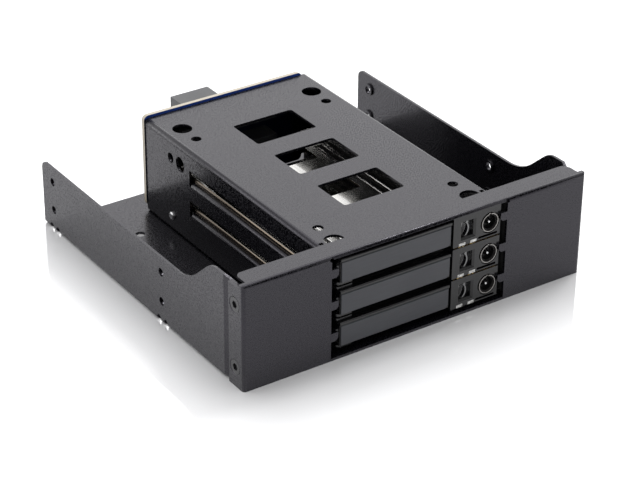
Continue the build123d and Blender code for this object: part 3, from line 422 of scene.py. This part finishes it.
# %% [markdown]
# ## Soft edges
# No real edge is perfectly sharp: the coat rounds it, and the round catches the light as a thin
# bright line. The loaded meshes have doubled corners, so a weld comes first, and then a bevel of
# up to three tenths of a millimetre on the sharp edges only. Both are modifiers, so the meshes
# of the model stay as they are. The table gives a width for each kind of piece by a part of its
# name, and the longest name that matches wins, so a lever's face differs from the lever.

# %% Round the edges
SHARP_EDGE = math.radians(40)
WELD_DISTANCE = 0.002 * mm
edge_rounds = {
    "bay_bracket": 0.25, "front_bezel": 0.3, "cage_cover": 0.32, "cage_side": 0.2,
    "front": 0.2, "lever": 0.24, "latch": 0.12, "pan": 0.12, "port": 0.15, "socket": 0.15,
    "light_pipes": 0.12, "lock_ring": 0.08, "lock_barrel": 0.08, "lever_face": 0.06,
}


def soften(piece, radius):
    """Welds the doubled corners of a piece and rounds its sharp edges."""
    weld = piece.modifiers.new("weld", "WELD")
    weld.merge_threshold = WELD_DISTANCE
    bevel = piece.modifiers.new("edge_round", "BEVEL")
    bevel.width = radius * mm
    bevel.segments = 2
    bevel.limit_method = "ANGLE"
    bevel.angle_limit = SHARP_EDGE
    bevel.harden_normals = True


softened = 0
for piece_name, piece in frame["nodes"].items():
    matches = [key for key in edge_rounds if key in piece_name]
    if matches:
        soften(piece, edge_rounds[max(matches, key=len)])
        softened += 1
print("pieces with rounded edges:", softened)

# %% [markdown]
# ## Small parts from bent strip
# Springs, contacts and solder joints are too small for the solid model, yet they are what makes
# a real backplane look real. Most of them are strip metal that a tool has bent, so one helper
# sweeps a thin rectangle along a list of points. It writes into a bmesh, so that many leaves can
# share one mesh and the whole row stays one piece.

# %% A strip and a place for it
added = []


def skin(mesh, rings):
    """Joins rings of vertices with faces, and closes the first and the last ring."""
    count = len(rings[0])
    for ring, following in zip(rings, rings[1:]):
        for i in range(count):
            j = (i + 1) % count
            mesh.faces.new((ring[i], ring[j], following[j], following[i]))
    mesh.faces.new(rings[0])
    mesh.faces.new(rings[-1])


def leaf(mesh, path, across, width, thickness):
    """Adds a strip of sheet metal that follows a path."""
    half = Vector(across) * (width / 2)
    rings = []
    for index, point in enumerate(path):
        before = path[max(index - 1, 0)]
        after = path[min(index + 1, len(path) - 1)]
        outward = (Vector(after) - Vector(before)).cross(Vector(across)).normalized() * thickness
        corners = (-half, half, half + outward, outward - half)
        rings.append([mesh.verts.new(Vector(point) + corner) for corner in corners])
    skin(mesh, rings)


def add_piece(name, mesh, body, material):
    """Turns a bmesh into a piece that rides on a body."""
    bmesh.ops.recalc_face_normals(mesh, faces=mesh.faces)
    data = bpy.data.meshes.new(name)
    mesh.to_mesh(data)
    mesh.free()
    data.materials.append(material)
    piece = bpy.data.objects.new(name, data)
    bpy.context.scene.collection.objects.link(piece)
    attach(piece, body)
    added.append(piece)
    return piece


contact_gold = finish(
    "contact_gold", (0.72, 0.52, 0.22), (0.92, 0.72, 0.38), (0.16, 0.26),
    grain=0.3 * mm, bump=0.0005 * mm, metal=1.0,
)
print("strip helper and gold finish made")

# %% [markdown]
# ## Latch springs
# The spring behind each latch slider is a wavy leaf that is squeezed when a finger pushes the
# slider. A piece of the scene stands for it: the same wavy leaf, built where the solid one is,
# which is hidden.

# %% Bend the latch springs
TRAYS = (1, 2, 3)
SPRING_WAVES = 2
SPRING_STEPS = 80
SPRING_THICKNESS = 0.22 * mm
SPRING_MARGIN = 0.15 * mm
for number in TRAYS:
    low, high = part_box(f"tray_{number}_latch_spring")
    middle = [(a + b) / 2 for a, b in zip(low, high)]
    reach = (high[1] - low[1]) / 2 - SPRING_MARGIN
    path = []
    for step in range(SPRING_STEPS + 1):
        t = step / SPRING_STEPS
        y = middle[1] + reach * math.cos(2 * math.pi * SPRING_WAVES * t)
        path.append((low[0] + (high[0] - low[0]) * t, y, middle[2]))
    mesh = bmesh.new()
    leaf(mesh, path, (0, 0, 1), high[2] - low[2], SPRING_THICKNESS)
    spring = add_piece(
        f"latch_spring_{number}", mesh, f"tray_{number}", spring_steel
    )
    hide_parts(f"tray_{number}_latch_spring")
    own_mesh(spring)
print("latch springs bent:", len(TRAYS))

# %% [markdown]
# ## Key pins
# A tubular key turns each lock. It fits over a steel pin in the middle of the barrel, and the
# pin's polished cone is the one bright spot in a black hole. It is turned on a lathe, so it is
# built the same way: a profile of distances and radii, swept round the barrel's axis. The axis is
# the middle of the lock ring, which is as wide as it is high.

# %% Turn the key pins
def turned(mesh, place, profile, sides):
    """Adds a round part whose axis runs along Y: the profile lists (distance, radius)."""
    rings = []
    for distance, radius in profile:
        ring = []
        for index in range(sides):
            angle = 2 * math.pi * index / sides
            offset = Vector((radius * math.cos(angle), distance, radius * math.sin(angle)))
            ring.append(mesh.verts.new(Vector(place) + offset * mm))
        rings.append(ring)
    skin(mesh, rings)


PIN_PROFILE = (
    (-0.05, 0.18), (0.0, 0.36), (0.12, 0.46), (0.5, 0.60), (1.2, 0.80), (1.45, 0.92), (1.5, 0.92)
)
for number in TRAYS:
    ring_low, ring_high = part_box(f"tray_{number}_lock_ring")
    barrel_low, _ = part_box(f"tray_{number}_lock_barrel")
    axis_x = (ring_low[0] + ring_high[0]) / 2
    axis_z = ring_high[2] - (ring_high[0] - ring_low[0]) / 2
    mesh = bmesh.new()
    turned(mesh, (axis_x, barrel_low[1], axis_z), PIN_PROFILE, 24)
    add_piece(f"key_pin_{number}", mesh, f"lock_{number}", plated_screw)
print("key pins on x =", round(axis_x / mm, 2), "mm")

# %% [markdown]
# ## Grounding strips
# A thin gold line runs along the top of each lock module. It is a grounding strip: a plated
# strip with a row of bowed fingers that touch the metal above and drain static charge. Each
# finger is a shallow arch, so it catches the light in a row of short dashes. All sizes of the
# strip are in millimetres.

# %% Lay a grounding strip on each tray front
MODULE_WIDTH = 20.7
STRIP_DEPTH = 3.4
STRIP_THICKNESS = 0.12
FINGER_PITCH = 1.65
FINGER_WIDTH = 1.25
FINGER_LENGTH = 2.1
FINGER_RISE = 0.34
FINGER_THICKNESS = 0.1
FINGER_STEPS = 8
finger_count = int((MODULE_WIDTH - 0.9) / FINGER_PITCH)
for number in TRAYS:
    front_low, front_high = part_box(f"tray_{number}_front")
    strip_left = front_high[0] - (MODULE_WIDTH - 0.4) * mm
    strip_front = front_low[1] + 0.15 * mm
    middle = strip_left + (MODULE_WIDTH - 0.8) / 2 * mm
    top = front_high[2]
    mesh = bmesh.new()
    base_path = [(middle, strip_front + t * STRIP_DEPTH * mm, top) for t in (0.62, 0.8, 1.0)]
    leaf(mesh, base_path, (-1, 0, 0), finger_count * FINGER_PITCH * mm, STRIP_THICKNESS * mm)
    for index in range(finger_count):
        x = strip_left + (index + 0.7) * FINGER_PITCH * mm
        arch = []
        for step in range(FINGER_STEPS + 1):
            t = step / FINGER_STEPS
            rise = FINGER_RISE * math.sin(math.pi * t) ** 0.8 if 0 < t < 1 else 0.0
            arch.append((x, strip_front + (0.1 + FINGER_LENGTH * t) * mm, top + rise * mm))
        leaf(mesh, arch, (-1, 0, 0), FINGER_WIDTH * mm, FINGER_THICKNESS * mm)
    add_piece(f"tray_{number}_ground_strip", mesh, f"tray_{number}", contact_gold)
print("fingers on each grounding strip:", finger_count)

# %% [markdown]
# ## Foam gaskets
# The bezel's opening is wider than the cage behind it. A strip of black foam on each side closes
# that gap: a dark sheet put there to keep the gap beside the tray fronts in shade, so no light
# shines through. Foam cut from a sheet has slightly hollow sides, so its outline has eight points
# and not four, and it is a little narrower at its ends.

# %% Close the gap beside the trays
FOAM_EDGE = 38.0 * mm
FOAM_SAG = 0.25 * mm
FOAM_LEVELS = (2.3 * mm, 2.8 * mm, 37.4 * mm, 37.9 * mm)
END_SHRINK = 0.9
# a dark sheet put in the gap beside the tray fronts to keep it in shade
shade_foam = finish(
    "shade_foam", (0.001, 0.001, 0.001), (0.006, 0.006, 0.006), (0.85, 0.95),
    grain=0.5 * mm, bump=0.05 * mm,
)
bezel_low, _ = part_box("front_bezel")
front = bezel_low[1] + 1.6 * mm
for side, sign in (("left", -1), ("right", 1)):
    wall_low, wall_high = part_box(f"cage_side_{side}")
    outer = wall_low[0] if sign < 0 else wall_high[0]
    inner = sign * FOAM_EDGE
    rear = wall_low[1]
    middle_x, middle_y = (inner + outer) / 2, (front + rear) / 2
    outline = [
        (inner, front), (middle_x, front + FOAM_SAG),
        (outer, front), (outer - sign * FOAM_SAG, middle_y),
        (outer, rear), (middle_x, rear - FOAM_SAG),
        (inner, rear), (inner + sign * FOAM_SAG, middle_y),
    ]
    mesh = bmesh.new()
    rings = []
    for z in FOAM_LEVELS:
        centre = Vector((middle_x, middle_y, z))
        shrink = END_SHRINK if z in (FOAM_LEVELS[0], FOAM_LEVELS[-1]) else 1.0
        corners = [centre + (Vector((x, y, z)) - centre) * shrink for x, y in outline]
        rings.append([mesh.verts.new(corner) for corner in corners])
    skin(mesh, rings)
    add_piece(f"shade_gasket_{side}", mesh, "chassis", shade_foam)
print("gaskets close from", round(inner / mm, 1), "to", round(outer / mm, 1), "mm")

# %% [markdown]
# ## Contacts
# Each drive socket has 7 data contacts and 15 power contacts at a pitch of 1.27 mm, and each
# rear port repeats them. A contact is a gold leaf that rises a little towards its tip, where it
# presses on the plug. The leaves of a socket point forward and those of a port point to the rear.

# %% Set the contacts in the sockets and ports
CONTACT_PITCH = 1.27
CONTACT_WIDTH = 0.6
CONTACT_THICKNESS = 0.1
DATA_CONTACTS = 7
POWER_CONTACTS = 15


def contact_row(mesh, centre, count, tip, root, height, rise):
    """A row of leaves along X: each starts at its root and rises towards its tip."""
    across = (1 if tip < root else -1, 0, 0)
    for index in range(count):
        x = centre + (index - (count - 1) / 2) * CONTACT_PITCH * mm
        path = [
            (x, root, height), (x, root + (tip - root) * 0.55, height),
            (x, root + (tip - root) * 0.8, height + rise), (x, tip, height + rise * 0.4),
        ]
        leaf(mesh, path, across, CONTACT_WIDTH * mm, CONTACT_THICKNESS * mm)


def socket_contacts(number):
    """The data and power contacts of one drive socket."""
    low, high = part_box(f"drive_socket_{number}")
    height = (low[2] + high[2]) / 2 - 0.65 * mm
    tip, root = low[1] + 0.4 * mm, low[1] + 5.9 * mm
    mesh = bmesh.new()
    contact_row(mesh, low[0] + 7.9 * mm, DATA_CONTACTS, tip, root, height, 0.3 * mm)
    contact_row(mesh, high[0] - 15.5 * mm, POWER_CONTACTS, tip, root, height, 0.3 * mm)
    add_piece(f"socket_{number}_contacts", mesh, "chassis", contact_gold)


def port_contacts(port, count):
    """The contacts of one port on the back of the board."""
    low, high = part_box(port)
    height = (low[2] + high[2]) / 2 + 1.0 * mm
    centre = (low[0] + high[0]) / 2 - 0.4 * mm
    mesh = bmesh.new()
    contact_row(mesh, centre, count, high[1] - 1.4 * mm, high[1] - 8.8 * mm, height, 0.12 * mm)
    add_piece(f"{port}_contacts", mesh, "chassis", contact_gold)


for number in TRAYS:
    socket_contacts(number)
    port_contacts(f"data_port_{number}", DATA_CONTACTS)
port_contacts("power_port", POWER_CONTACTS)
print("contacts in a socket:", DATA_CONTACTS + POWER_CONTACTS)

# %% [markdown]
# ## Parts on the back of the board
# The back of the board carries two small chips, the capacitors that smooth the power of the
# drives, small chip capacitors, and the solder joints of the drive sockets. Packages are moulded,
# so none has a sharp edge or an upright side: the helper stacks four outlines with cut corners,
# and the ones at the board and at the top are a little smaller.

# %% A helper for moulded packages
BODY_CORNER = 0.12


def package(mesh, place, width, height, depth, draft=0.12):
    """Adds a moulded package on the board's back, with sloping sides and eased corners."""
    levels = ((0.1, draft), (depth * 0.5, 0.0), (depth - 0.08, draft), (depth, draft + 0.1))
    rings = []
    for distance, inset in levels:
        w, h, c = width / 2 - inset, height / 2 - inset, BODY_CORNER
        outline = (
            (w - c, -h), (w, c - h), (w, h - c), (w - c, h),
            (c - w, h), (-w, h - c), (-w, c - h), (c - w, -h),
        )
        corners = [Vector(place) + Vector((x, distance, z)) * mm for x, z in outline]
        rings.append([mesh.verts.new(corner) for corner in corners])
    skin(mesh, rings)


board_low, board_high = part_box("backplane_board")
rear_face = board_high[1]


def on_board(x, z):
    """A place on the board's back, from millimetres."""
    return Vector((x * mm, rear_face, z * mm))


solder = finish(
    "solder", (0.50, 0.50, 0.50), (0.66, 0.66, 0.65), (0.22, 0.40),
    grain=0.3 * mm, bump=0.004 * mm, metal=1.0,
)
print("parts stand on y =", round(rear_face / mm, 2), "mm")

# %% [markdown]
# A chip stands on a row of pins along each long side. A pin leaves the package halfway up, bends
# down and ends flat on the board, which is the gull wing shape that gives the solder a foot.

# %% Set the chips
CHIP_DEPTH = 1.5
PIN_PITCH = 1.0
PIN_WIDTH = 0.4
PIN_THICKNESS = 0.1
GULL_WING = ((0, 0.75), (0.25, 0.75), (0.45, 0.2), (0.9, 0.06))
chip_places = ((14.0, 32.5, 6.0, 5.0), (22.5, 32.5, 4.0, 3.0))
chips, pins = bmesh.new(), bmesh.new()
for x, z, width, height in chip_places:
    place = on_board(x, z)
    package(chips, place, width, height, CHIP_DEPTH)
    count = int(width / PIN_PITCH) - 1
    for index in range(count):
        pin_x = place.x + (index - (count - 1) / 2) * PIN_PITCH * mm
        for side in (-1, 1):
            edge = place.z + side * (height / 2 - 0.1) * mm
            path = [(pin_x, rear_face + y * mm, edge + side * out * mm) for out, y in GULL_WING]
            leaf(pins, path, (side, 0, 0), PIN_WIDTH * mm, PIN_THICKNESS * mm)
add_piece("board_chips", chips, "chassis", black_plastic)
add_piece("chip_pins", pins, "chassis", solder)
print("chips set:", len(chip_places))

# %% [markdown]
# The smoothing capacitors are aluminium cans on square plastic feet. A can is drawn and then
# rolled against its rubber plug, which leaves the groove near its foot, and its rim is turned in.
# The chip capacitors are small ceramic blocks with a tinned cap at each end.

# %% Set the capacitors
CAN_PROFILE = (
    (0.9, 2.0), (1.0, 2.45), (1.8, 2.5), (2.0, 2.3), (2.2, 2.5),
    (5.2, 2.5), (5.4, 2.4), (5.5, 2.2), (5.42, 2.0),
)
CAN_PLACES = ((7.5, 20.5), (14.5, 20.5), (21.5, 20.5))
CHIP_CAP_ROW = [(x, 26.6) for x in (9.0, 12.5, 16.0, 19.5, 23.0)]
CHIP_CAP_COLUMN = [(-20.0, z) for z in (8.0, 11.5, 20.5, 24.0, 33.0)]
can_metal = finish(
    "can_metal", (0.52, 0.53, 0.54), (0.64, 0.65, 0.66), (0.20, 0.30),
    grain=0.4 * mm, bump=0.001 * mm, metal=1.0,
)
ceramic = finish(
    "ceramic", (0.20, 0.13, 0.08), (0.28, 0.19, 0.12), (0.35, 0.5),
    grain=0.3 * mm, bump=0.004 * mm,
)
cans, feet = bmesh.new(), bmesh.new()
for x, z in CAN_PLACES:
    turned(cans, on_board(x, z), CAN_PROFILE, 28)
    package(feet, on_board(x, z), 5.4, 5.4, 0.95, 0.05)
add_piece("capacitor_cans", cans, "chassis", can_metal)
add_piece("capacitor_feet", feet, "chassis", black_plastic)

blocks, caps = bmesh.new(), bmesh.new()
for x, z in CHIP_CAP_ROW + CHIP_CAP_COLUMN:
    package(blocks, on_board(x, z), 1.3, 1.2, 0.8, 0.03)
    for side in (-1, 1):
        cap_place = on_board(x, z) + Vector((side * 0.78 * mm, 0, 0))
        package(caps, cap_place, 0.45, 1.26, 0.84, 0.03)
add_piece("chip_capacitors", blocks, "chassis", ceramic)
add_piece("chip_capacitor_ends", caps, "chassis", solder)
print("capacitors set:", len(CAN_PLACES) + len(CHIP_CAP_ROW) + len(CHIP_CAP_COLUMN))

# %% [markdown]
# The drive sockets on the front are soldered through the board. Solder wets the pin and the pad,
# so each joint is a small cone with a hollow flank. The joints of a socket stand in two rows,
# staggered by half a pitch. The lowest socket's joints are hidden behind the power port.

# %% Solder the sockets
JOINT_PROFILE = ((0.0, 0.55), (0.15, 0.38), (0.4, 0.26), (0.6, 0.2), (0.64, 0.1))
JOINTS_PER_ROW = 9
JOINT_ROWS = ((-0.95, 0.0), (0.95, 0.5))
joints = bmesh.new()
for level in (2, 3):
    low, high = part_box(f"drive_socket_{level}")
    middle = (low[2] + high[2]) / 2
    for rise, stagger in JOINT_ROWS:
        for index in range(JOINTS_PER_ROW):
            x = 3.0 + (index + stagger) * CONTACT_PITCH
            turned(joints, (x * mm, rear_face, middle + rise * mm), JOINT_PROFILE, 10)
add_piece("solder_joints", joints, "chassis", solder)
print("pieces added:", len(added))

# %% [markdown]
# ## The floor
# The cage stands on a glossy white floor. The floor is one large plane, so the camera never sees
# its edge, and it lies a twentieth of a millimetre low, so that it doesn't flicker in the
# underside of the cage. It takes the soft shadow.

# %% Lay the floor
FLOOR_SIZE = 12.0
FLOOR_DROP = 0.05 * mm
half = FLOOR_SIZE / 2
floor_mesh = bpy.data.meshes.new("floor")
floor_corners = [(-half, -half, 0), (half, -half, 0), (half, half, 0), (-half, half, 0)]
floor_mesh.from_pydata(floor_corners, [], [(0, 1, 2, 3)])
floor = bpy.data.objects.new("floor", floor_mesh)
floor.location.z = -FLOOR_DROP
bpy.context.scene.collection.objects.link(floor)
floor_finish, floor_shader, floor_place = new_finish("floor_finish")
floor_shader.inputs["Base Color"].default_value = (0.92, 0.92, 0.93, 1)
floor_shader.inputs["Roughness"].default_value = 0.05
floor_shader.inputs["Specular IOR Level"].default_value = 0.25
floor_mesh.materials.append(floor_finish)
print("floor laid:", FLOOR_SIZE, "m wide")

# %% [markdown]
# The floor is polished, so it mirrors the cage, and the mirror image fades with the distance
# from the cage, as it does on a floor that is wiped clean only where the product stands. A partly
# metallic floor mirrors straight down, which a clear coat hardly does. The distance to the
# footprint comes from a few small steps: move to the footprint's middle, take the absolute value,
# subtract half the size, and measure what is left above zero. On the left the polish starts to
# fade under the cage already.

# %% Polish the floor near the cage
MIRROR_STRENGTH = 0.38
MIRROR_FADE = 44 * mm
LEFT_INSET = 12 * mm


def distance_to_rectangle(material, place, centre, half_size):
    """The distance in metres from a place to a rectangle on the floor."""
    steps = (
        ("SUBTRACT", (*centre, 0)), ("ABSOLUTE", None),
        ("SUBTRACT", (*half_size, 1)), ("MAXIMUM", (0, 0, 0)), ("LENGTH", None),
    )
    value = place
    for operation, constant in steps:
        node = material.node_tree.nodes.new("ShaderNodeVectorMath")
        node.operation = operation
        material.node_tree.links.new(value, node.inputs[0])
        if constant is not None:
            node.inputs[1].default_value = constant
        value = node.outputs["Value" if operation == "LENGTH" else "Vector"]
    return value


low, high = cad_box
left = low[0] + LEFT_INSET
middle = ((left + high[0]) / 2, (low[1] + high[1]) / 2)
half_size = ((high[0] - left) / 2, (high[1] - low[1]) / 2)
near = distance_to_rectangle(floor_finish, floor_place, middle, half_size)
polish = spread(floor_finish, near, MIRROR_STRENGTH, 0.0, 0.0, MIRROR_FADE, smooth=True)
floor_finish.node_tree.links.new(polish, floor_shader.inputs["Metallic"])
print("mirror fades over", round(MIRROR_FADE / mm, 1), "mm")

# %% [markdown]
# ## The room
# The cage stands in a white room: the sky is full white where the camera, a reflection or a clear
# plastic sees it, and a tenth weaker as a light, so that the lamps can shape the cage.
#
# A photographer hangs a dark panel beside the camera to draw the edges of a black product. Here
# it is a dark patch of the sky at the front right, low down. Only a first reflection sees it, so
# the folds of the bezel get their dark line, and the floor's mirror image doesn't.

# %% Make the room
LIGHT_LEVEL = 0.90
PANEL_LEVEL = 0.02
PANEL_RIM, PANEL_CORE = 0.87, 0.95
PANEL_DIRECTION = Vector((0.497, -0.787, 0.364)).normalized()
world = bpy.data.worlds.new("white_room")
bpy.context.scene.world = world
world.use_nodes = True
background = world.node_tree.nodes["Background"]
background.inputs["Color"].default_value = (1, 1, 1, 1)
rays = world.node_tree.nodes.new("ShaderNodeLightPath")
seen = compute(world, "MAXIMUM", rays.outputs["Is Camera Ray"], rays.outputs["Is Glossy Ray"])
seen = compute(world, "MAXIMUM", seen, rays.outputs["Is Transmission Ray"])
room_level = spread(world, seen, LIGHT_LEVEL, 1.0, 0.0, 1.0)

direction = world.node_tree.nodes.new("ShaderNodeTexCoord")
towards = world.node_tree.nodes.new("ShaderNodeVectorMath")
towards.operation = "DOT_PRODUCT"
towards.inputs[1].default_value = PANEL_DIRECTION
world.node_tree.links.new(direction.outputs["Generated"], towards.inputs[0])
panel = spread(world, towards.outputs["Value"], 0.0, 1.0, PANEL_RIM, PANEL_CORE, smooth=True)
first_bounce = compute(world, "COMPARE", rays.outputs["Glossy Depth"], 1.0, 0.5)
panel_seen = compute(world, "MULTIPLY", panel, first_bounce)
panel_level = spread(world, panel_seen, 1.0, PANEL_LEVEL, 0.0, 1.0)
sky_level = compute(world, "MULTIPLY", room_level, panel_level)
world.node_tree.links.new(sky_level, background.inputs["Strength"])
print("world made with", len(world.node_tree.nodes), "nodes")

# %% [markdown]
# ## The lamps
# Four soft lamps shape the black coat, which shows mostly what it mirrors. The rear lamp is what
# the cover mirrors towards the camera, the top lamp fills the trays and the floor, the left lamp
# lights the left wall, and the small edge lamp draws thin bright lines on the edges.

# %% Set the lamps
LAMP_TARGET = (0, 0, 0.02)


def lamp(name, place, size, power):
    """A square soft lamp that faces the cage."""
    data = bpy.data.lights.new(name, "AREA")
    data.shape = "SQUARE"
    data.size = size
    data.energy = power
    light = bpy.data.objects.new(name, data)
    light.location = place
    towards_cage = Vector(LAMP_TARGET) - Vector(place)
    light.rotation_euler = towards_cage.to_track_quat("-Z", "Y").to_euler()
    bpy.context.scene.collection.objects.link(light)


lamp("rear_lamp", (0.75, 1.10, 0.80), size=1.6, power=7.6)
lamp("top_lamp", (0.1, 0.1, 1.4), size=1.0, power=6.0)
lamp("edge_lamp", (0.60, 0.10, 1.05), size=0.26, power=4.4)
lamp("left_lamp", (-1.35, 0.85, 0.35), size=1.2, power=8.0)
bpy.context.scene.view_settings.view_transform = "Standard"
